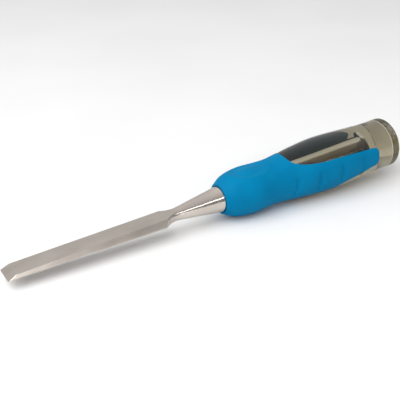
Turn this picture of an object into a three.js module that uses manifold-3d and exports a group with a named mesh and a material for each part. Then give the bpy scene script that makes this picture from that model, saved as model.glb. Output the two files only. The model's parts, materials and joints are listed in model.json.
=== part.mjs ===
// Bench chisel with a two-shot handle: forged blade, tang sleeve, clear handle body,
// soft over-moulded grip and striking cap. Millimetres, +Z up.
//
// Every piece is drawn on the tool axis, which runs along +X from the cutting edge (x = 0)
// to the butt. The whole tool is then laid down as it rests on a bench: on the bulb and the
// belly of the handle, with the cutting edge just clear of the bench.
import * as THREE from 'three';
import { mergeVertices } from 'three/addons/utils/BufferGeometryUtils.js';
import Module from 'manifold-3d';

// ---- driving dimensions ----

const overallLength = 272.3;
const clearance = 0.3; // between neighbouring pieces
const roundSegments = 48;

// blade
const bladeWidth = 15;
const bladeFlatEnd = 98; // where the shoulders begin
const backAtTip = -1.1;
const backAtShoulder = -2.8;
const topAtTip = 1.35;
const topAtShoulder = 2.45;
const bevelLength = 5.2;
const sideLand = 0.6; // height of the square edge below the side bevel, at the tip
const sideBevelInset = 0.55; // how far the side bevel comes in at the top, at the tip

// neck and bolster
const neckX = 107;
const neckRadius = 3.9;
const flatRunOut = 111; // where the flat faces end, ground into the neck
const bolsterEnd = 138.6; // where the bolster enters the grip
const bolsterRadius = 8.4;
const bolsterBack = 142; // its rear face, hidden inside the grip

// tang
const tangRadius = 3.5;
const tangTipRadius = 2.8;
const tangEnd = 228;

// handle outline: stations along the axis and the radius at each
const mouth = { x: 138.6, r: 10.0 };
const lipShoulder = { x: 145.1, r: 13.6 };
const bulb = { x: 158.5, r: 15.7 };
const waist = { x: 176, r: 14.75 };
const swell = { x: 200, r: 17.5 };
const belly = { x: 217, r: 18.7 };
const tail = { x: 258, r: 16.95 };
const butt = { x: 272.3, r: 17.0 };

// grip
const gripThickness = 2.4;
const windowFront = 186.4; // foremost point of the top and bottom windows
const tongueTop = { atBelly: 9.5, atEnd: 7.3 }; // height of its edge above the axis
const tongueBottom = { atBelly: 12.2, atEnd: 6.0 }; // and below it
const tongueEnd = 254;
const tongueCorner = 4.5;
const dish = { x: 160, halfLength: 15, halfWidth: 10, depth: 0.9 };

// tang sleeve
const sleeveRadius = 5.3;
const sleeveEnd = 251;
const collarRadius = 6.8;
const collarThickness = 2.6;

// striking cap
const capSeam = 266.4;
const spigotRadius = 11;
const spigotLength = 3;
const rimRound = 1.4;
const ringGroove = { x: 269, width: 0.7, depth: 0.35 };

// ---- colours ----

const steel = { color: '#aea79f', roughness: 0.38, metalness: 1 };
const sleevePlastic = { color: '#8d866c', roughness: 0.45, metalness: 0 };
const smokePlastic = { color: '#79755f', roughness: 0.12, metalness: 0, transparent: true, opacity: 0.55 };
const bluePlastic = { color: '#0079b4', roughness: 0.6, metalness: 0 };
const capPlastic = { color: '#6f675c', roughness: 0.25, metalness: 0 };

// ---- solid helpers ----

const wasm = await Module();
wasm.setup();

function toSolid(geometry) {
  const bare = geometry.clone();
  bare.deleteAttribute('normal');
  bare.deleteAttribute('uv');
  const merged = mergeVertices(bare, 1e-5);
  const mesh = new wasm.Mesh({
    numProp: 3,
    vertProperties: Float32Array.from(merged.attributes.position.array),
    triVerts: Uint32Array.from(merged.index.array),
  });
  return new wasm.Manifold(mesh);
}

function toGeometry(solid) {
  const mesh = solid.getMesh();
  const positions = new Float32Array(mesh.numVert * 3);
  for (let i = 0; i < mesh.numVert; i += 1) {
    for (let axis = 0; axis < 3; axis += 1) {
      positions[3 * i + axis] = mesh.vertProperties[mesh.numProp * i + axis];
    }
  }
  const geometry = new THREE.BufferGeometry();
  geometry.setAttribute('position', new THREE.BufferAttribute(positions, 3));
  geometry.setIndex(Array.from(mesh.triVerts));
  geometry.computeVertexNormals();
  return geometry;
}

// A solid turned about the tool axis. The profile is a list of [x, radius] from the tip end to
// the butt end, and starts and ends on the axis. The facets start half a step round, so that
// a flat one faces the bench.
function turned(profile) {
  const points = profile.map(([x, r]) => new THREE.Vector2(r, x));
  const geometry = new THREE.LatheGeometry(points, roundSegments, Math.PI / roundSegments);
  geometry.rotateZ(-Math.PI / 2);
  return toSolid(geometry);
}

// An outline drawn in the side view (x, z), as wide as the tool.
function sideExtrusion(shape, halfWidth) {
  const geometry = new THREE.ExtrudeGeometry(shape, {
    depth: 2 * halfWidth, bevelEnabled: false, curveSegments: 10,
  });
  geometry.rotateX(Math.PI / 2);
  geometry.translate(0, halfWidth, 0);
  return toSolid(geometry);
}

function outline(points) {
  return new THREE.Shape(points.map(([u, v]) => new THREE.Vector2(u, v)));
}

function meshOf(name, solid, finish) {
  const mesh = new THREE.Mesh(toGeometry(solid), new THREE.MeshStandardMaterial(finish));
  mesh.name = name;
  return mesh;
}

// ---- handle outline ----

const handleCurve = new THREE.CatmullRomCurve3(
  [mouth, lipShoulder, bulb, waist, swell, belly, tail, butt].map(({ x, r }) => new THREE.Vector3(x, r, 0)),
  false,
  'centripetal',
);
const outlineSteps = 160;
const handleOutline = Array.from(
  { length: outlineSteps + 1 },
  (_, i) => handleCurve.getPoint(i / outlineSteps),
);

function handleRadius(x) {
  const after = Math.max(1, handleOutline.findIndex((point) => point.x >= x));
  const a = handleOutline[after - 1];
  const b = handleOutline[after];
  return THREE.MathUtils.mapLinear(x, a.x, b.x, a.y, b.y);
}

// Points on the handle outline between two stations, moved inwards by inset.
function outlineBetween(from, to, inset, step = 3.4) {
  const count = Math.ceil((to - from) / step);
  return Array.from({ length: count + 1 }, (_, i) => {
    const x = THREE.MathUtils.lerp(from, to, i / count);
    return [x, handleRadius(x) - inset];
  });
}

// ---- blade, bolster and tang: one forging ----

function topHeight(x) {
  return THREE.MathUtils.mapLinear(x, 0, bladeFlatEnd, topAtTip, topAtShoulder);
}

// The flat bar's side view: bevel, flat faces, then the faces run out into the neck.
function forgingSide() {
  const reach = 12;
  const side = new THREE.Shape();
  side.moveTo(0, backAtTip);
  side.lineTo(bladeFlatEnd, backAtShoulder);
  side.quadraticCurveTo(neckX, backAtShoulder - 0.2, flatRunOut, -neckRadius - 0.9);
  side.lineTo(flatRunOut, -reach);
  side.lineTo(tangEnd + 1, -reach);
  side.lineTo(tangEnd + 1, reach);
  side.lineTo(flatRunOut, reach);
  side.lineTo(flatRunOut, neckRadius + 0.9);
  side.quadraticCurveTo(neckX, topAtShoulder + 0.2, bladeFlatEnd, topAtShoulder);
  side.lineTo(bevelLength, topHeight(bevelLength));
  return side;
}

// The bar's section: square land below, then side bevels sloping in towards the top face.
function barSection() {
  const half = bladeWidth / 2;
  const reach = 12;
  const landTop = backAtTip + sideLand;
  const lean = (sideBevelInset / (topAtTip - landTop)) * (reach - landTop);
  const section = outline([
    [-half, -reach],
    [half, -reach],
    [half, landTop],
    [half - lean, reach],
    [-half + lean, reach],
    [-half, landTop],
  ]);
  const geometry = new THREE.ExtrudeGeometry(section, { depth: flatRunOut, bevelEnabled: false });
  geometry.rotateX(Math.PI / 2);
  geometry.rotateZ(Math.PI / 2);
  return toSolid(geometry);
}

function forging() {
  const wide = 12;
  const shoulderSteps = 8;
  const shoulder = new THREE.CubicBezierCurve(
    new THREE.Vector2(bladeFlatEnd, bladeWidth / 2 + 0.4),
    new THREE.Vector2(bladeFlatEnd + 2.2, neckRadius + 1.7),
    new THREE.Vector2(neckX - 4, neckRadius + 0.2),
    new THREE.Vector2(neckX, neckRadius),
  ).getPoints(shoulderSteps).map((point) => [point.x, point.y]);
  const round = turned([
    [0, 0],
    [0, wide],
    [bladeFlatEnd, wide],
    ...shoulder,
    [neckX + 2, neckRadius + 0.25],
    [bolsterEnd, bolsterRadius],
    [bolsterBack, bolsterRadius],
    [bolsterBack, tangRadius],
    [tangEnd - 2, tangTipRadius],
    [tangEnd, tangTipRadius - 1.2],
    [tangEnd, 0],
  ]);
  const beyondFlat = turned([
    [flatRunOut, 0],
    [flatRunOut, wide],
    [tangEnd + 1, wide],
    [tangEnd + 1, 0],
  ]);
  const barOrRound = barSection().add(beyondFlat);
  return sideExtrusion(forgingSide(), wide).intersect(round).intersect(barOrRound);
}

// ---- tang sleeve: moulded round the tang before the clear body ----

const bodyFront = bolsterBack + clearance;

function tangSleeve() {
  const collarFront = sleeveEnd - collarThickness;
  const outer = turned([
    [bodyFront, 0],
    [bodyFront, sleeveRadius],
    [collarFront, sleeveRadius - 0.3],
    [collarFront, collarRadius],
    [sleeveEnd, collarRadius],
    [sleeveEnd, 0],
  ]);
  const hole = turned([
    [bodyFront - 1, 0],
    [bodyFront - 1, tangRadius + clearance],
    [tangEnd, tangTipRadius + clearance],
    [tangEnd + clearance, 0],
  ]);
  return outer.subtract(hole);
}

// ---- where the grip lies: all round the front, then a tongue on each side ----

// The tongue's edge in the side view, from the window's front to the tongue's end, drawn above
// the axis for side = 1 and below it for side = -1.
function windowEdge(side, { atBelly, atEnd }, grow) {
  const window = windowFront + grow;
  const end = tongueEnd + grow;
  const edge = new THREE.Path();
  edge.moveTo(window, side * (belly.r + 5));
  edge.lineTo(window, side * (waist.r + 0.6));
  edge.bezierCurveTo(
    window + 0.8, side * (waist.r - 2.4),
    window + 8, side * (atBelly + grow + 0.1),
    belly.x, side * (atBelly + grow),
  );
  edge.lineTo(end - tongueCorner, side * (atEnd + grow));
  edge.quadraticCurveTo(end, side * (atEnd + grow), end, side * (atEnd + grow - tongueCorner));
  return edge.getPoints(10);
}

function gripZone(grow) {
  const high = belly.r + 5;
  const front = mouth.x - 5;
  const top = windowEdge(1, tongueTop, grow);
  const bottom = windowEdge(-1, tongueBottom, grow);
  const side = new THREE.Shape([
    new THREE.Vector2(front, -high),
    ...bottom,
    ...top.reverse(),
    new THREE.Vector2(front, high),
  ]);
  return sideExtrusion(side, high);
}

// The shallow thumb rest on top of the bulb: a flattened ball, sunk into the surface.
function thumbDish(extraDepth) {
  const ball = new THREE.SphereGeometry(1, 24, 12);
  const height = 6;
  ball.scale(dish.halfLength + 3, dish.halfWidth + 2, height);
  ball.translate(dish.x, 0, bulb.r + height - dish.depth - extraDepth);
  return toSolid(ball);
}

function softGrip() {
  const rearCut = tongueEnd + 5;
  const outer = turned([[mouth.x, 0], ...outlineBetween(mouth.x, rearCut, 0), [rearCut, 0]]);
  const inner = turned([
    [mouth.x - 1, 0],
    [mouth.x - 1, bolsterRadius + clearance],
    [bodyFront, bolsterRadius + clearance],
    ...outlineBetween(bodyFront, rearCut + 1, gripThickness),
    [rearCut + 1, 0],
  ]);
  return outer.subtract(inner).intersect(gripZone(0)).subtract(thumbDish(0));
}

// ---- clear handle body ----

function handleBody() {
  const rear = capSeam - clearance / 2;
  const edge = 0.4; // chamfer at the seam with the cap
  const outer = turned([
    [bodyFront, 0],
    ...outlineBetween(bodyFront, rear - edge, 0),
    [rear, handleRadius(rear) - edge],
    [rear, 0],
  ]);
  const underGrip = turned([
    [bodyFront - 1, 0],
    ...outlineBetween(bodyFront - 1, rear, gripThickness + clearance),
    [rear, 0],
  ]);
  const bed = gripZone(clearance).subtract(underGrip);
  const collarFront = sleeveEnd - collarThickness;
  const sleeveHole = turned([
    [bodyFront - 1, 0],
    [bodyFront - 1, sleeveRadius + clearance],
    [collarFront - clearance, sleeveRadius - 0.3 + clearance],
    [collarFront - clearance, collarRadius + clearance],
    [sleeveEnd + clearance, collarRadius + clearance],
    [sleeveEnd + clearance, 0],
  ]);
  const socket = turned([
    [rear - spigotLength - clearance, 0],
    [rear - spigotLength - clearance, spigotRadius + clearance],
    [rear + 1, spigotRadius + clearance],
    [rear + 1, 0],
  ]);
  return outer.subtract(bed).subtract(sleeveHole).subtract(socket);
}

// ---- striking cap ----

function strikingCap() {
  const front = capSeam + clearance / 2;
  const edge = 0.4;
  const radius = handleRadius(front);
  const { x: grooveX, width, depth } = ringGroove;
  const roundSteps = 5;
  const rim = Array.from({ length: roundSteps + 1 }, (_, i) => {
    const angle = (Math.PI / 2) * (i / roundSteps);
    return [
      overallLength - rimRound + rimRound * Math.sin(angle),
      radius - rimRound + rimRound * Math.cos(angle),
    ];
  });
  return turned([
    [front - spigotLength, 0],
    [front - spigotLength, spigotRadius],
    [front, spigotRadius],
    [front, radius - edge],
    [front + edge, radius],
    [grooveX - width / 2, radius],
    [grooveX, radius - depth],
    [grooveX + width / 2, radius],
    ...rim,
    [overallLength, 0],
  ]);
}

// ---- assembly, laid down as it rests ----

const tool = new THREE.Group();
tool.add(meshOf('blade', forging(), steel));
tool.add(meshOf('tang_sleeve', tangSleeve(), sleevePlastic));
tool.add(meshOf('handle_body', handleBody(), smokePlastic));
tool.add(meshOf('soft_grip', softGrip(), bluePlastic));
tool.add(meshOf('striking_cap', strikingCap(), capPlastic));

// The bench touches the outline on both sides of the waist: their common tangent.
const aheadOfWaist = handleOutline.filter((point) => point.x < waist.x);
const behindWaist = handleOutline.filter((point) => point.x > waist.x);
const benchSlope = Math.min(
  ...aheadOfWaist.map((a) => Math.max(...behindWaist.map((b) => (b.y - a.y) / (b.x - a.x)))),
);
tool.rotation.y = -Math.atan(benchSlope);
tool.updateMatrixWorld(true);

const bounds = new THREE.Box3().setFromObject(tool, true);
const middle = bounds.getCenter(new THREE.Vector3());
tool.position.set(-middle.x, -middle.y, -bounds.min.z);

const chisel = new THREE.Group();
chisel.add(tool);
chisel.updateMatrixWorld(true);

export default chisel;
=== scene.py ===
"""Looks of the bench chisel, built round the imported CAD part.

Shapes are drawn in millimetres in the tool frame, where +X runs from the cutting edge along the
tool axis, +Z is the side that faces up and -Y is the near side. The tool frame is found from the
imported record's striking face, and every piece is placed by it.
"""

import json
import math

import bmesh
import bpy
from mathutils import Matrix, Vector


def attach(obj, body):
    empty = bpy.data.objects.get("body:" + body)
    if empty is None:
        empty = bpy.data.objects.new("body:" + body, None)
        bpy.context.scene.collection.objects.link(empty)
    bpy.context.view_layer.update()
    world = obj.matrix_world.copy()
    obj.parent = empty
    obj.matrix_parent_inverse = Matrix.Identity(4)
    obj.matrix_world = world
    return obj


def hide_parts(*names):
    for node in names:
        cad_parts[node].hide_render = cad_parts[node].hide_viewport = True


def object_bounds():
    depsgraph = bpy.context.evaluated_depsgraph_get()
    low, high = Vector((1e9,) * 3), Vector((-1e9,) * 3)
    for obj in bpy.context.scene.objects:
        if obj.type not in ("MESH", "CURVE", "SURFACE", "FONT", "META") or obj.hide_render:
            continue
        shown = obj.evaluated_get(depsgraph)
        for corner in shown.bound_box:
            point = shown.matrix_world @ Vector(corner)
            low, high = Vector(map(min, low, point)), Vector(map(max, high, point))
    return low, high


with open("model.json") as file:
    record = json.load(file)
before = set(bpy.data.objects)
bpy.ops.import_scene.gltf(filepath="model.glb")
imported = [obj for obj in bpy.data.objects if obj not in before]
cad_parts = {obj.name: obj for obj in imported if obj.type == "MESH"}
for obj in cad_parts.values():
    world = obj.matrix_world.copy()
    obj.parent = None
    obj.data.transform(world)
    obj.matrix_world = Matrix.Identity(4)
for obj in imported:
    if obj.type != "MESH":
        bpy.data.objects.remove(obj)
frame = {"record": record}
cad_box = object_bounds()

MM = 0.001

# ---- driving dimensions, mm, as the CAD part has them ----

OVERALL_LENGTH = 272.3
CLEARANCE = 0.3  # between neighbouring pieces

BLADE_WIDTH = 15
BLADE_FLAT_END = 98  # where the shoulders begin
BACK_AT_TIP = -1.1
BACK_AT_SHOULDER = -2.8
TOP_AT_TIP = 1.35
TOP_AT_SHOULDER = 2.45
BEVEL_LENGTH = 5.2
SIDE_LAND = 0.6  # height of the square edge below the side bevel
SIDE_BEVEL_INSET = 0.55  # how far the side bevel comes in at the top, at the tip

NECK_X = 107
NECK_RADIUS = 3.9
FLAT_RUN_OUT = 111  # where the flat faces end, ground into the neck
BOLSTER_END = 138.6  # where the bolster enters the grip
BOLSTER_RADIUS = 8.4
BOLSTER_BACK = 142  # its rear face, hidden inside the grip
TANG_RADIUS = 3.5
TANG_TIP_RADIUS = 2.8
TANG_END = 228

# handle outline: (x, radius) stations
MOUTH = (138.6, 10.0)
LIP_SHOULDER = (145.1, 13.6)
BULB = (158.5, 15.7)
WAIST = (176, 14.75)
SWELL = (200, 17.5)
BELLY = (217, 18.7)
TAIL = (258, 16.95)
BUTT = (272.3, 17.0)
HANDLE_STATIONS = (MOUTH, LIP_SHOULDER, BULB, WAIST, SWELL, BELLY, TAIL, BUTT)

GRIP_THICKNESS = 2.4
WINDOW_FRONT = 186.4  # foremost point of the top and bottom windows
TONGUE_TOP = (9.5, 7.3)  # height of its edge above the axis, at the belly and at its end
TONGUE_BOTTOM = (12.2, 6.0)  # and below it
TONGUE_END = 254
TONGUE_CORNER = 4.5

SLEEVE_RADIUS = 5.3
SLEEVE_END = 251
COLLAR_RADIUS = 6.8
COLLAR_THICKNESS = 2.6

CAP_SEAM = 266.4

# ---- finer dimensions, mm, of the looks alone ----

FACET_INSET = 0.05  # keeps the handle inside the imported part's flat facets
EDGE_INSET = 0.02  # and the cutting edge inside its box

EDGE_THICKNESS = 0.04  # of the cutting edge
EDGE_SOFTENING = 0.12  # of the blade's other edges
SOFTENING_SHARE = 0.2  # at most, of the blade's height
LAND_SHARE = 0.3  # at most, of the blade's height
CORNER_SHARE = 0.3  # at most, of a side of the section
RUN_OUT_RISE = 0.9  # how far the flat faces end above the neck
RUN_OUT_POWER = 2.2  # how late they curve up
NECK_BLEND = 0.35  # over which the flat faces meet the turned form
FAR = 20.0  # farther from the axis than any of the blade
TURNED_FROM = FLAT_RUN_OUT - 8  # the steel's finish changes from here to the run-out

GRIP_PROUD = 0.12  # the grip's skin stands this far above the clear body
GRIP_EDGE_ROUND = 0.35
WINDOW_TURN = 9  # a window's edge runs along the tool from this far behind its front

DISH_X = 161
DISH_HALF_LENGTH = 15
DISH_HALF_WIDTH = 11
DISH_DEPTH = 1.7
DISH_FLAT = 0.6  # its flat middle, as a share of its size

SCALLOP_STARTS = (186.4, 203.4, 220.8, 239.3)
SCALLOP_WIDTH = 5.2
SCALLOP_DEPTH = 1.6
SCALLOP_RAMP = 0.2  # share of the width that drops to the full depth
SCALLOP_SLANT = 0.8  # how far its ends lean along the tool
SCALLOP_DROP = math.radians(6)  # of its middle, below the level of the axis
SCALLOP_HALF_ANGLE = math.radians(24)

HOLLOW_MARGIN = 1.3  # times the depth of the grip's hollows, in the clear body under them
HOLLOW_REACH = 1.2  # how far past them the clear body's hollows go, along the tool

SLEEVE_TAPER = 0.3  # thinner at the collar than in front

NOSE_LENGTH = 3  # of the clear body's tapered front
NOSE_RADIUS = 10.4
BODY_END_ROUND = 0.4
BODY_END_CUT = 0.6  # the outline stops this far before the rear face

RIM_ROUND = 0.9
CAP_SEAM_ROUND = 0.3
CAP_RINGS = (267.5, 269, 270.4)  # shallow grooves turned round the cap
RING_DEPTH = 0.5
RING_HALF_WIDTH = 0.4
RING_EDGE_ROUND = 0.1

# ---- mesh steps ----

WELD_DISTANCE = 0.002  # mm: points closer than this become one
TINY = 1e-6
OUTLINE_STEPS = 40  # between two stations of the handle's outline
FILLET_STEPS = 5
CURVE_STEPS = 24
CORNER_STEPS = 8
FINE_SEGMENTS = 192  # round the clear body and the cap
SLEEVE_SEGMENTS = 128
SECTION_COUNTS = (30, 4, 12, 30, 12, 4)  # steps along each side of the blade's section
WINDOW_COLUMNS = 28  # of the grip's grid, over a window's front
TONGUE_COLUMNS = 44
LAST_COLUMN = 2 * WINDOW_COLUMNS + TONGUE_COLUMNS
FRONT_ROWS = 90  # from the mouth to the windows
TONGUE_ROWS = 68
LAST_ROW = FRONT_ROWS + TONGUE_ROWS

# ---- the tool frame ----

butt_mount = next(m for m in frame["record"]["mounts"] if m["name"] == "striking_face")
axis = Vector(butt_mount["axis"]).normalized()
across = Vector((0, 1, 0))
tool = Matrix((axis, across, axis.cross(across))).transposed().to_4x4()
tool.translation = Vector(butt_mount["pos_m"]) - axis * OVERALL_LENGTH * MM


# ---- small helpers ----


def lerp(a, b, t):
    return a + (b - a) * t


def clamp01(t):
    return min(1.0, max(0.0, t))


def clamp11(t):
    return min(1.0, max(-1.0, t))


def smoothstep(a, b, value):
    t = clamp01((value - a) / (b - a))
    return t * t * (3 - 2 * t)


def spread(start, end, count):
    """count + 1 evenly spaced values."""
    return [lerp(start, end, i / count) for i in range(count + 1)]


def bezier(control, count=CURVE_STEPS):
    """count + 1 points on the Bezier curve with these control points."""
    result = []
    for t in spread(0, 1, count):
        points = [Vector(p) for p in control]
        while len(points) > 1:
            points = [a.lerp(b, t) for a, b in zip(points, points[1:])]
        result.append(points[0])
    return result


def along(polyline, count):
    """count + 1 points spaced evenly along a polyline."""
    points = [Vector(p) for p in polyline]
    reach = [0.0]
    for a, b in zip(points, points[1:]):
        reach.append(reach[-1] + (b - a).length)
    result = []
    k = 0
    for i in range(count + 1):
        target = reach[-1] * i / count
        while k < len(points) - 2 and reach[k + 1] < target:
            k += 1
        t = clamp01((target - reach[k]) / (reach[k + 1] - reach[k]))
        result.append(points[k].lerp(points[k + 1], t))
    return result


def handle_outline():
    """The handle's outline: a centripetal Catmull-Rom curve through the stations."""
    p = [Vector(s) for s in HANDLE_STATIONS]
    p = [2 * p[0] - p[1]] + p + [2 * p[-1] - p[-2]]
    points = []
    for p0, p1, p2, p3 in zip(p, p[1:], p[2:], p[3:]):
        d0, d1, d2 = (math.sqrt((b - a).length) for a, b in ((p0, p1), (p1, p2), (p2, p3)))
        t1 = ((p1 - p0) / d0 - (p2 - p0) / (d0 + d1) + (p2 - p1) / d1) * d1
        t2 = ((p2 - p1) / d1 - (p3 - p1) / (d1 + d2) + (p3 - p2) / d2) * d1
        for i in range(OUTLINE_STEPS):
            t = i / OUTLINE_STEPS
            points.append(
                p1 * (2 * t**3 - 3 * t**2 + 1)
                + t1 * (t**3 - 2 * t**2 + t)
                + p2 * (3 * t**2 - 2 * t**3)
                + t2 * (t**3 - t**2)
            )
    return points + [p[-2]]


OUTLINE = handle_outline()


def handle_radius(x):
    """The handle's radius at x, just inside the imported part's facets."""
    k = 1
    while k < len(OUTLINE) - 1 and OUTLINE[k].x < x:
        k += 1
    a, b = OUTLINE[k - 1], OUTLINE[k]
    return lerp(a.y, b.y, clamp01((x - a.x) / (b.x - a.x))) - FACET_INSET


def handle_stretch(start, end, inset):
    """Profile points on the handle outline, about 1 mm apart, moved inwards by inset."""
    xs = spread(start, end, math.ceil(end - start))
    return [(x, handle_radius(x) - inset) for x in xs]


# ---- mesh building ----


def add_object(name, data):
    """A new object in the scene."""
    thing = bpy.data.objects.new(name, data)
    bpy.context.scene.collection.objects.link(thing)
    return thing


def piece_from(name, points, faces, material, smooth_angle=35):
    """A closed piece from points in millimetres in the tool frame, riding on the part."""
    mesh = bpy.data.meshes.new(name)
    mesh.from_pydata([tool @ (Vector(p) * MM) for p in points], [], faces)
    bm = bmesh.new()
    bm.from_mesh(mesh)
    bmesh.ops.remove_doubles(bm, verts=bm.verts, dist=WELD_DISTANCE * MM)
    bmesh.ops.recalc_face_normals(bm, faces=bm.faces)
    bm.to_mesh(mesh)
    bm.free()
    mesh.shade_smooth()
    mesh.set_sharp_from_angle(angle=math.radians(smooth_angle))
    mesh.materials.append(material)
    piece = add_object(name, mesh)
    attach(piece, "root")
    return piece


def rounded(profile):
    """Profile points from (x, r) or (x, r, fillet radius) corners."""
    result = []
    for i, corner in enumerate(profile):
        here = Vector(corner[:2])
        if len(corner) < 3:
            result.append(here)
            continue
        before = (Vector(profile[i - 1][:2]) - here).normalized()
        after = (Vector(profile[i + 1][:2]) - here).normalized()
        half_angle = before.angle(after) / 2
        cut = corner[2] / math.tan(half_angle)
        start, end = here + before * cut, here + after * cut
        weight = math.sin(half_angle)  # makes the conic arc a circular one
        for t in spread(0, 1, FILLET_STEPS):
            a, b, c = (1 - t) ** 2, 2 * t * (1 - t) * weight, t * t
            result.append((start * a + here * b + end * c) / (a + b + c))
    return [(p.x, p.y) for p in result]


def turned(profile, segments):
    """Points and faces of a solid turned about the tool axis; the profile starts and ends on it."""
    points = []
    rings = []
    for x, r in profile:
        first = len(points)
        if r < TINY:
            points.append((x, 0, 0))
            rings.append([first])
            continue
        for k in range(segments):
            angle = 2 * math.pi * (k + 0.5) / segments
            points.append((x, r * math.cos(angle), r * math.sin(angle)))
        rings.append(list(range(first, first + segments)))
    faces = []
    for a, b in zip(rings, rings[1:]):
        for k in range(segments):
            n = (k + 1) % segments
            if len(a) == 1:
                faces.append((a[0], b[k], b[n]))
            elif len(b) == 1:
                faces.append((a[n], a[k], b[0]))
            else:
                faces.append((a[k], b[k], b[n], a[n]))
    return points, faces


def loft(rings):
    """Points and faces of a closed solid through rings with the same count of points."""
    count = len(rings[0])
    points = [p for ring in rings for p in ring]
    faces = [tuple(range(count))]
    for i in range(len(rings) - 1):
        for k in range(count):
            n = (k + 1) % count
            faces.append((i * count + k, i * count + n, (i + 1) * count + n, (i + 1) * count + k))
    faces.append(tuple((len(rings) - 1) * count + k for k in range(count)))
    return points, faces


def grid_faces(grid):
    """The quads of a grid given as {(row, column): point number}."""
    faces = []
    for (i, k), a in grid.items():
        quad = (a, grid.get((i + 1, k)), grid.get((i + 1, k + 1)), grid.get((i, k + 1)))
        if None not in quad:
            faces.append(quad)
    return faces


# ---- materials ----


def new_material(name):
    material = bpy.data.materials.new(name)
    material.use_nodes = True
    tree = material.node_tree
    shader = tree.nodes["Principled BSDF"]
    return material, tree, shader


def add_node(tree, kind, **values):
    """A node, with properties by attribute name and input values by socket name."""
    node = tree.nodes.new(kind)
    for key, value in values.items():
        socket = node.inputs.get(key)
        if socket is not None:
            socket.default_value = value
        else:
            setattr(node, key, value)
    return node


def tool_coordinates(tree):
    """Tool-frame coordinates in metres, from the row frame that the meshes are in."""
    coordinates = add_node(tree, "ShaderNodeTexCoord")
    undo = add_node(tree, "ShaderNodeMapping", vector_type="TEXTURE")
    undo.inputs["Location"].default_value = tool.translation
    undo.inputs["Rotation"].default_value = tool.to_euler()
    tree.links.new(coordinates.outputs["Object"], undo.inputs["Vector"])
    return undo.outputs["Vector"]


def stretched_coordinates(tree, scale, turn=(0, 0, 0)):
    """Tool-frame coordinates turned, and then scaled along each axis."""
    turned_by = add_node(tree, "ShaderNodeMapping", Rotation=turn)
    scaled_by = add_node(tree, "ShaderNodeMapping", Scale=scale)
    tree.links.new(tool_coordinates(tree), turned_by.inputs["Vector"])
    tree.links.new(turned_by.outputs["Vector"], scaled_by.inputs["Vector"])
    return scaled_by.outputs["Vector"]


def noise(tree, scale, detail, turn=(0, 0, 0)):
    vector = stretched_coordinates(tree, scale, turn)
    node = add_node(tree, "ShaderNodeTexNoise", Scale=1.0, Detail=detail)
    tree.links.new(vector, node.inputs["Vector"])
    return node.outputs["Fac"]


def map_range(tree, value, source, target):
    """The value, clamped to the source (low, high) and mapped to the target (low, high)."""
    node = add_node(tree, "ShaderNodeMapRange")
    for name, end in zip(("From Min", "From Max", "To Min", "To Max"), (*source, *target)):
        node.inputs[name].default_value = end
    tree.links.new(value, node.inputs["Value"])
    return node.outputs["Result"]


def colour_between(tree, factor, low, high, start=0.35, end=0.65):
    ramp = add_node(tree, "ShaderNodeValToRGB")
    ramp.color_ramp.elements[0].position = start
    ramp.color_ramp.elements[0].color = (*low, 1)
    ramp.color_ramp.elements[1].position = end
    ramp.color_ramp.elements[1].color = (*high, 1)
    tree.links.new(factor, ramp.inputs["Fac"])
    return ramp.outputs["Color"]


def value_between(tree, factor, low, high):
    """A value that follows a noise, most of which lies between 0.3 and 0.7."""
    return map_range(tree, factor, (0.3, 0.7), (low, high))


def bump(tree, height, distance, strength, base=None):
    node = add_node(tree, "ShaderNodeBump", Distance=distance, Strength=strength)
    tree.links.new(height, node.inputs["Height"])
    if base is not None:
        tree.links.new(base, node.inputs["Normal"])
    return node.outputs["Normal"]


def blade_to_bolster(tree, low, high):
    """A value that goes from low on the blade to high on the bolster."""
    split = add_node(tree, "ShaderNodeSeparateXYZ")
    tree.links.new(tool_coordinates(tree), split.inputs["Vector"])
    return map_range(tree, split.outputs["X"], (TURNED_FROM * MM, FLAT_RUN_OUT * MM), (low, high))


def steel_material():
    """Ground across the blade at a slant. The bolster is turned, brighter and smoother."""
    material, tree, shader = new_material("ground_steel")
    shader.inputs["Metallic"].default_value = 1.0
    grain = noise(tree, scale=(850, 70, 70), detail=2.0, turn=(0, 0, math.radians(38)))
    cloud = noise(tree, scale=(60, 90, 90), detail=3.0)
    colour = colour_between(tree, cloud, low=(0.57, 0.515, 0.465), high=(0.65, 0.590, 0.535))
    shade = add_node(tree, "ShaderNodeVectorMath", operation="SCALE")
    tree.links.new(colour, shade.inputs[0])
    tree.links.new(blade_to_bolster(tree, low=0.86, high=1.0), shade.inputs["Scale"])
    tree.links.new(shade.outputs["Vector"], shader.inputs["Base Color"])
    roughness = add_node(tree, "ShaderNodeMath", operation="MULTIPLY")
    tree.links.new(value_between(tree, grain, low=0.275, high=0.290), roughness.inputs[0])
    tree.links.new(blade_to_bolster(tree, low=1.0, high=0.55), roughness.inputs[1])
    tree.links.new(roughness.outputs["Value"], shader.inputs["Roughness"])
    tree.links.new(bump(tree, grain, distance=0.00001, strength=0.04), shader.inputs["Normal"])
    return material


def soft_grip_material():
    material, tree, shader = new_material("soft_blue")
    cloud = noise(tree, scale=(55, 55, 55), detail=2.0)
    colour = colour_between(tree, cloud, low=(0.0, 0.158, 0.325), high=(0.0, 0.180, 0.362))
    tree.links.new(colour, shader.inputs["Base Color"])
    grain = noise(tree, scale=(3200, 3200, 3200), detail=2.0)
    tree.links.new(value_between(tree, grain, low=0.48, high=0.60), shader.inputs["Roughness"])
    tree.links.new(bump(tree, grain, distance=0.00003, strength=0.5), shader.inputs["Normal"])
    shader.inputs["Specular IOR Level"].default_value = 0.04
    return material


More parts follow.
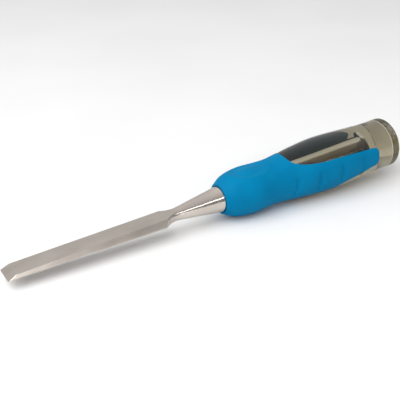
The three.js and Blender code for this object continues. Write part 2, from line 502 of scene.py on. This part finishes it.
def smoke_material(name, density, smooth, rough):
    """Clear tinted plastic; its surface ripples a little, as moulded plastic does."""
    material, tree, shader = new_material(name)
    shader.inputs["Base Color"].default_value = (1, 1, 1, 1)
    shader.inputs["Transmission Weight"].default_value = 1.0
    shader.inputs["IOR"].default_value = 1.49
    ripple = noise(tree, scale=(60, 90, 90), detail=2.0)
    tree.links.new(value_between(tree, ripple, smooth, rough), shader.inputs["Roughness"])
    flow = noise(tree, scale=(600, 70, 70), detail=2.0)
    waves = bump(tree, ripple, distance=0.0002, strength=0.5)
    surface = bump(tree, flow, distance=0.00006, strength=0.5, base=waves)
    tree.links.new(surface, shader.inputs["Normal"])
    absorb = add_node(tree, "ShaderNodeVolumeAbsorption", Density=density)
    absorb.inputs["Color"].default_value = (0.48, 0.42, 0.21, 1)
    output = tree.nodes["Material Output"]
    tree.links.new(absorb.outputs["Volume"], output.inputs["Volume"])
    return material


def sleeve_material():
    """Streaks of light brown in near-black, along the tool."""
    material, tree, shader = new_material("sleeve_plastic")
    flow = noise(tree, scale=(28, 150, 150), detail=2.0, turn=(0, 0, math.radians(4)))
    dark, light = (0.020, 0.020, 0.013), (0.15, 0.125, 0.080)
    colour = colour_between(tree, flow, dark, light, start=0.48, end=0.62)
    tree.links.new(colour, shader.inputs["Base Color"])
    tree.links.new(value_between(tree, flow, low=0.18, high=0.32), shader.inputs["Roughness"])
    tree.links.new(bump(tree, flow, distance=0.0003, strength=0.4), shader.inputs["Normal"])
    return material


def floor_material():
    material, tree, shader = new_material("studio_floor")
    cloud = noise(tree, scale=(9, 9, 9), detail=2.0)
    colour = colour_between(tree, cloud, low=(0.76, 0.76, 0.76), high=(0.78, 0.78, 0.78))
    tree.links.new(colour, shader.inputs["Base Color"])
    shader.inputs["Roughness"].default_value = 0.9
    shader.inputs["Specular IOR Level"].default_value = 0.1
    return material


# ---- blade, bolster and tang: one forging, lofted along the axis ----


def back_height(x):
    """Height of the blade's back above the axis."""
    if x <= BLADE_FLAT_END:
        return lerp(BACK_AT_TIP, BACK_AT_SHOULDER, x / BLADE_FLAT_END)
    return -run_out(x, -BACK_AT_SHOULDER)


def top_height(x):
    """Height of the blade's top face, or of its tip bevel, above the axis."""
    bevel_top = lerp(TOP_AT_TIP, TOP_AT_SHOULDER, BEVEL_LENGTH / BLADE_FLAT_END)
    if x < BEVEL_LENGTH:
        return lerp(BACK_AT_TIP + EDGE_THICKNESS, bevel_top, x / BEVEL_LENGTH)
    if x <= BLADE_FLAT_END:
        return lerp(TOP_AT_TIP, TOP_AT_SHOULDER, x / BLADE_FLAT_END)
    return run_out(x, TOP_AT_SHOULDER)


def run_out(x, height):
    """Height of a flat face where it curves up out of the neck, behind the shoulders."""
    t = (x - BLADE_FLAT_END) / (FLAT_RUN_OUT - BLADE_FLAT_END)
    return height + (NECK_RADIUS + RUN_OUT_RISE - height) * t**RUN_OUT_POWER


def shoulder_curve():
    """(x, radius) where the shoulders are turned down to the neck."""
    control = (
        (BLADE_FLAT_END, BLADE_WIDTH / 2 + 0.4),
        (BLADE_FLAT_END + 2.2, NECK_RADIUS + 1.7),
        (NECK_X - 4, NECK_RADIUS + 0.2),
        (NECK_X, NECK_RADIUS),
    )
    return bezier(control)


FORGING_ROUND = shoulder_curve() + [
    Vector((NECK_X + 2, NECK_RADIUS + 0.25)),
    Vector((BOLSTER_END, BOLSTER_RADIUS)),
    Vector((BOLSTER_BACK, BOLSTER_RADIUS)),
]


def forging_radius(x):
    """Radius of the turned form that the flat bar narrows into."""
    if x <= BLADE_FLAT_END:
        return FAR
    for a, b in zip(FORGING_ROUND, FORGING_ROUND[1:]):
        if x <= b.x:
            return lerp(a.y, b.y, (x - a.x) / (b.x - a.x))
    return FORGING_ROUND[-1].y


def bar_corners(x):
    """The flat bar's section at x: corners (y, z), counter-clockwise from the near lower one."""
    half = BLADE_WIDTH / 2
    low = back_height(x)
    high = top_height(x)
    land = low + min(SIDE_LAND, (high - low) * LAND_SHARE)
    slope = SIDE_BEVEL_INSET / (TOP_AT_TIP - BACK_AT_TIP - SIDE_LAND)
    top_half = half - slope * (high - land)
    lower = [(-half, low), (half, low), (half, land)]
    return lower + [(top_half, high), (-top_half, high), (-half, land)]


def bar_section(x):
    """Points round the section, the same count at every x, with its edges softened."""
    corners = [Vector(c) for c in bar_corners(x)]
    soften = min(EDGE_SOFTENING, (top_height(x) - back_height(x)) * SOFTENING_SHARE)
    points = []
    for i, count in enumerate(SECTION_COUNTS):
        a = corners[i]
        b = corners[(i + 1) % len(corners)]
        inset = min(soften / (b - a).length, CORNER_SHARE)
        points += [a.lerp(b, t) for t in spread(inset, 1 - inset, count)]
    return points


def forging_ring(x):
    """The forging's outline at x: the bar's section, cut down to the turned form."""
    bar_x = min(x, FLAT_RUN_OUT)
    section = bar_section(bar_x)
    corners = bar_corners(bar_x)
    radius = forging_radius(x)
    evenness = smoothstep(BLADE_FLAT_END + 3, FLAT_RUN_OUT, x)  # of the points round the ring
    start = math.atan2(section[0].y, section[0].x)
    ring = []
    for k, point in enumerate(section):
        own = math.atan2(point.y, point.x)
        even = start + 2 * math.pi * k / len(section)
        angle = own + ((even - own + math.pi) % (2 * math.pi) - math.pi) * evenness
        if x >= FLAT_RUN_OUT:
            bar = FAR
        elif evenness:
            bar = distance_to_section(corners, angle)
        else:
            bar = point.length
        h = clamp01(0.5 + 0.5 * (bar - radius) / NECK_BLEND)
        reach = lerp(bar, radius, h) - NECK_BLEND * h * (1 - h)
        ring.append((x, reach * math.cos(angle), reach * math.sin(angle)))
    return ring


def distance_to_section(corners, angle):
    """How far a ray from the axis goes before it leaves the section."""
    ray = Vector((math.cos(angle), math.sin(angle)))
    nearest = FAR
    for a, b in zip(corners, corners[1:] + corners[:1]):
        a = Vector(a)
        side = Vector(b) - a
        outward = Vector((side.y, -side.x))
        facing = ray.dot(outward)
        if facing > TINY:
            nearest = min(nearest, a.dot(outward) / facing)
    return nearest


def forging_stations():
    """Places along the forging where its outline is drawn, closest where it changes most."""
    bevel = [EDGE_INSET, 1.5, 3.2, BEVEL_LENGTH - EDGE_SOFTENING, BEVEL_LENGTH + EDGE_SOFTENING]
    flat = spread(8, BLADE_FLAT_END - 2, 26)
    shoulders = spread(BLADE_FLAT_END - 0.4, FLAT_RUN_OUT + 1, 60)
    bolster = spread(FLAT_RUN_OUT + 2, BOLSTER_BACK, 20)
    return bevel + flat + shoulders + bolster


def blade():
    """The forging: its rings, then the tang's, closed at both ends."""
    rings = [forging_ring(x) for x in forging_stations()]
    bolster_back = rings[-1]
    tang = (
        (BOLSTER_BACK, TANG_RADIUS),
        (BOLSTER_BACK + 10, TANG_RADIUS),
        (TANG_END - 2, TANG_TIP_RADIUS),
        (TANG_END, TANG_TIP_RADIUS - 1.2),
    )
    for x, radius in tang:
        scale = radius / BOLSTER_RADIUS
        rings.append([(x, y * scale, z * scale) for _, y, z in bolster_back])
    points, faces = loft(rings)
    piece = piece_from("blade_forging", points, faces, steel_material(), smooth_angle=28)
    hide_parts("blade")


# ---- soft grip: a grid on the handle surface, front ring and two tongues ----


def window_edge(at_belly, at_end):
    """(x, height) down a window's edge in the side view, from the centre line to the tongue's end."""
    front = WINDOW_FRONT
    control = (
        (front, WAIST[1] + 0.6),
        (front + 0.8, WAIST[1] - 2.4),
        (front + 8, at_belly + 0.1),
        (BELLY[0], at_belly),
    )
    corner_control = (
        (TONGUE_END - TONGUE_CORNER, at_end),
        (TONGUE_END, at_end),
        (TONGUE_END, at_end - TONGUE_CORNER),
    )
    foremost = Vector((front, handle_radius(front)))
    return [foremost] + bezier(control) + bezier(corner_control, CORNER_STEPS)


def dish_depth(x, angle):
    """The shallow thumb rest on top of the bulb."""
    if angle <= 0:
        return 0.0
    u = (x - DISH_X) / DISH_HALF_LENGTH
    v = (math.pi / 2 - angle) * handle_radius(x) / DISH_HALF_WIDTH
    return DISH_DEPTH * (1 - smoothstep(DISH_FLAT, 1, math.hypot(u, v)))


def scallop_depth(x, angle):
    """Four finger scallops on each side: straight in front, bulging to the rear."""
    v = (angle + SCALLOP_DROP) / SCALLOP_HALF_ANGLE
    if abs(v) >= 1:
        return 0.0
    reach = 1 - v * v
    for start in SCALLOP_STARTS:
        front = start + SCALLOP_SLANT * v
        t = (x - front) / (SCALLOP_WIDTH * reach)
        if 0 < t < 1:
            return SCALLOP_DEPTH * math.sqrt(reach) * smoothstep(0, SCALLOP_RAMP, t) * (1 - t)
    return 0.0


def hollow_depth(x, angle):
    """How far the grip's skin lies below the handle's outline."""
    return dish_depth(x, angle) + scallop_depth(x, angle)


def grip_point(x, angle, side, inner):
    """A point of the grip's skin or of its inner face, at an angle above the level."""
    radius = handle_radius(x)
    bore = BOLSTER_RADIUS + CLEARANCE
    if not inner:
        radius -= hollow_depth(x, angle)
    elif x < BOLSTER_BACK:
        radius = bore
    else:
        radius = max(bore, radius - GRIP_THICKNESS)
    return (x, side * radius * math.cos(angle), radius * math.sin(angle))


ARC = 18  # mm of surface to a radian, about: keeps the grid's steps even


def spaced_edge(at_belly, at_end):
    """A window's edge as two evenly spaced runs of (x, angle): across the front, and down the side."""
    edge = [
        Vector((p.x, ARC * math.asin(clamp01(p.y / handle_radius(p.x)))))
        for p in window_edge(at_belly, at_end)
    ]
    turn = next(i for i, p in enumerate(edge) if p.x > WINDOW_FRONT + WINDOW_TURN)
    front = [(p.x, p.y / ARC) for p in along(edge[: turn + 1], WINDOW_COLUMNS)]
    side = [(p.x, p.y / ARC) for p in along(edge[turn:], TONGUE_ROWS)]
    return front, side


def grip_places():
    """{(row, column): (x, angle)} over one side of the grip, from the mouth to the tongue's end."""
    top_front, top_side = spaced_edge(*TONGUE_TOP)
    low_front, low_side = spaced_edge(*TONGUE_BOTTOM)
    low_front = [(x, -angle) for x, angle in low_front]
    low_side = [(x, -angle) for x, angle in low_side]
    start, end = Vector(top_side[0]), Vector(low_side[0])
    base = list(top_front)
    base += [tuple(start.lerp(end, k / TONGUE_COLUMNS)) for k in range(1, TONGUE_COLUMNS)]
    base += low_front[::-1]
    places = {}
    for i in range(FRONT_ROWS + 1):
        for k, (x, angle) in enumerate(base):
            places[i, k] = (lerp(MOUTH[0], x, i / FRONT_ROWS), angle)
    for i in range(1, TONGUE_ROWS + 1):
        to_end = smoothstep(0.75, 1, i / TONGUE_ROWS)
        for k in range(TONGUE_COLUMNS + 1):
            v = k / TONGUE_COLUMNS
            x, angle = Vector(top_side[i]).lerp(Vector(low_side[i]), v)
            # fills out the tongue's square end between its rounded corners
            bow = (TONGUE_END - x) * to_end * (1 - abs(2 * v - 1) ** 5)
            places[FRONT_ROWS + i, WINDOW_COLUMNS + k] = (x + bow, angle)
    return places


def grip_rim():
    """Grid points round one side's free edge: top window, tongue, bottom window."""
    left = WINDOW_COLUMNS
    right = WINDOW_COLUMNS + TONGUE_COLUMNS
    rim = [(FRONT_ROWS, k) for k in range(left + 1)]
    rim += [(i, left) for i in range(FRONT_ROWS + 1, LAST_ROW + 1)]
    rim += [(LAST_ROW, k) for k in range(left + 1, right + 1)]
    rim += [(i, right) for i in range(LAST_ROW - 1, FRONT_ROWS - 1, -1)]
    rim += [(FRONT_ROWS, k) for k in range(right + 1, LAST_COLUMN + 1)]
    return rim


def soft_grip():
    """A skin over both sides: each a grid outside and inside, joined along its edges."""
    places = grip_places()
    mouth = [(0, k) for k in range(LAST_COLUMN + 1)]
    points = []
    faces = []
    for side in (-1, 1):
        outer = {}
        inner = {}
        for grid in (outer, inner):
            for key, (x, angle) in places.items():
                grid[key] = len(points)
                points.append(grip_point(x, angle, side, grid is inner))
            faces += grid_faces(grid)
        for edge in (grip_rim(), mouth):
            for a, b in zip(edge, edge[1:]):
                faces.append((outer[a], outer[b], inner[b], inner[a]))
    sharp = 60
    piece = piece_from("grip_skin", points, faces, soft_grip_material(), sharp)
    rounding = piece.modifiers.new("edge_round", "BEVEL")
    rounding.width = GRIP_EDGE_ROUND * MM
    rounding.segments = 3
    rounding.limit_method = "ANGLE"
    rounding.angle_limit = math.radians(sharp)
    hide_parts("soft_grip")


# ---- turned pieces: tang sleeve, clear body, striking cap ----


def tang_sleeve():
    """The dark core round the tang, with a collar at its rear end."""
    front = BOLSTER_BACK + CLEARANCE
    collar_front = SLEEVE_END - COLLAR_THICKNESS
    profile = rounded(
        [
            (front, 0),
            (front, SLEEVE_RADIUS, 0.5),
            (collar_front, SLEEVE_RADIUS - SLEEVE_TAPER, 0.4),
            (collar_front, COLLAR_RADIUS, 0.3),
            (SLEEVE_END, COLLAR_RADIUS, 0.3),
            (SLEEVE_END, 0),
        ]
    )
    points, faces = turned(profile, SLEEVE_SEGMENTS)
    piece = piece_from("tang_sleeve_core", points, faces, sleeve_material())
    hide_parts("tang_sleeve")


def under_hollows(point):
    """Keeps the clear body below the hollows in the grip's skin."""
    x, y, z = point
    radius = math.hypot(y, z)
    if radius < BOLSTER_RADIUS:
        return point
    angle = math.asin(clamp11(z / radius))
    near = (x - HOLLOW_REACH, x, x + HOLLOW_REACH)
    depth = HOLLOW_MARGIN * max(hollow_depth(place, angle) for place in near)
    scale = 1 - depth / radius
    return (x, y * scale, z * scale)


def clear_body():
    """The clear moulding, bored for the sleeve and its collar with a thin air gap round them."""
    front = BOLSTER_BACK + CLEARANCE
    rear = CAP_SEAM - CLEARANCE / 2
    collar_front = SLEEVE_END - COLLAR_THICKNESS
    outline = handle_stretch(front + NOSE_LENGTH, rear - BODY_END_CUT, GRIP_PROUD)
    bore = rounded(
        [
            (SLEEVE_END + CLEARANCE, 0),
            (SLEEVE_END + CLEARANCE, COLLAR_RADIUS + CLEARANCE, 0.3),
            (collar_front - CLEARANCE, COLLAR_RADIUS + CLEARANCE, 0.3),
            (collar_front - CLEARANCE, SLEEVE_RADIUS + CLEARANCE, 0.3),
            (front, SLEEVE_RADIUS + CLEARANCE),
        ]
    )
    profile = [*bore, (front, NOSE_RADIUS), *outline]
    profile += rounded([outline[-1], (rear, outline[-1][1], BODY_END_ROUND), (rear, 0)])[1:]
    points, faces = turned(profile, FINE_SEGMENTS)
    points = [under_hollows(p) for p in points]
    material = smoke_material("smoke_plastic", density=55.0, smooth=0.01, rough=0.05)
    piece = piece_from("clear_handle", points, faces, material)
    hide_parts("handle_body")


def striking_cap():
    """The tinted cap at the butt, with its turned rings."""
    front = CAP_SEAM + CLEARANCE / 2
    radius = handle_radius(front) - GRIP_PROUD / 2
    end = OVERALL_LENGTH - FACET_INSET
    profile = [(front, 0), (front, radius, CAP_SEAM_ROUND)]
    for x in CAP_RINGS:
        profile += [
            (x - RING_HALF_WIDTH, radius, RING_EDGE_ROUND),
            (x, radius - RING_DEPTH, RING_EDGE_ROUND),
            (x + RING_HALF_WIDTH, radius, RING_EDGE_ROUND),
        ]
    profile += [(end, radius, RIM_ROUND), (end, 0)]
    points, faces = turned(rounded(profile), FINE_SEGMENTS)
    material = smoke_material("cap_plastic", density=80.0, smooth=0.04, rough=0.10)
    piece = piece_from("cap_turned", points, faces, material)
    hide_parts("striking_cap")


# ---- studio ----


def studio_floor():
    """A plain floor, a hair below the tool."""
    reach = 4  # m, as is the gap
    gap = 0.0002
    steps = 8
    row = steps + 1
    ticks = spread(-reach, reach, steps)
    points = [(x, y, 0) for y in ticks for x in ticks]
    faces = [
        (j * row + i, j * row + i + 1, (j + 1) * row + i + 1, (j + 1) * row + i)
        for j in range(steps)
        for i in range(steps)
    ]
    mesh = bpy.data.meshes.new("floor")
    mesh.from_pydata(points, [], faces)
    mesh.materials.append(floor_material())
    floor = add_object("floor", mesh)
    floor.location.z = cad_box[0][2] - gap


def softbox(name, direction, distance, size, power):
    """A rectangular light aimed at the origin, near the middle of the tool."""
    data = bpy.data.lights.new(name, "AREA")
    data.shape = "RECTANGLE"
    data.size, data.size_y = size
    data.energy = power
    light = add_object(name, data)
    aim = Vector(direction).normalized()
    turn = aim.to_track_quat("Z", "Y").to_matrix().to_4x4()
    light.matrix_world = Matrix.Translation(aim * distance) @ turn


def studio_lights():
    """A key above the tip, and a strip and a low panel in front."""
    softbox("key_above_tip", direction=(-0.65, -0.2, 0.8), distance=1.3, size=(1.6, 1.3), power=21)
    softbox("front_strip", direction=(0.15, -0.85, 0.50), distance=1.1, size=(0.9, 0.07), power=1.4)
    softbox("front_low", direction=(-0.05, -1, 0.08), distance=1.2, size=(0.36, 0.18), power=0.75)


def studio_sky():
    """Plain white light from all round, brighter from behind and above."""
    brightest = (0.1, 0.45, 0.85)
    world = bpy.data.worlds.new("studio")
    bpy.context.scene.world = world
    world.use_nodes = True
    tree = world.node_tree
    coordinates = add_node(tree, "ShaderNodeTexCoord")
    towards = add_node(tree, "ShaderNodeVectorMath", operation="DOT_PRODUCT")
    towards.inputs[1].default_value = brightest
    tree.links.new(coordinates.outputs["Generated"], towards.inputs[0])
    level = map_range(tree, towards.outputs["Value"], (-0.5, 1.0), (0.10, 0.86))
    background = tree.nodes["Background"]
    background.inputs["Color"].default_value = (1, 1, 1, 1)
    tree.links.new(level, background.inputs["Strength"])
    bpy.context.scene.view_settings.view_transform = "Standard"


def photo_camera():
    """The photograph's view: from the near side, towards the tip and above, all but level."""
    aimed_at = 126.2  # mm along the tool axis
    target = tool @ Vector((aimed_at * MM, 0, 0))
    azimuth = math.radians(-29.53)
    elevation = math.radians(26.94)
    roll = math.radians(-2.04)
    distance = 0.470
    direction = Vector(
        (
            math.sin(azimuth) * math.cos(elevation),
            -math.cos(azimuth) * math.cos(elevation),
            math.sin(elevation),
        )
    )
    data = bpy.data.cameras.new("camera")
    data.sensor_width = 36
    data.lens = 68.8
    data.shift_x = -0.0051
    data.shift_y = 0.0125
    data.clip_start = 0.01
    camera = add_object("camera", data)
    turn = direction.to_track_quat("Z", "Y").to_matrix().to_4x4()
    camera.matrix_world = (
        Matrix.Translation(target + direction * distance) @ turn @ Matrix.Rotation(roll, 4, "Z")
    )
    bpy.context.scene.camera = camera


blade()
tang_sleeve()
clear_body()
soft_grip()
striking_cap()
studio_floor()
studio_lights()
studio_sky()
photo_camera()
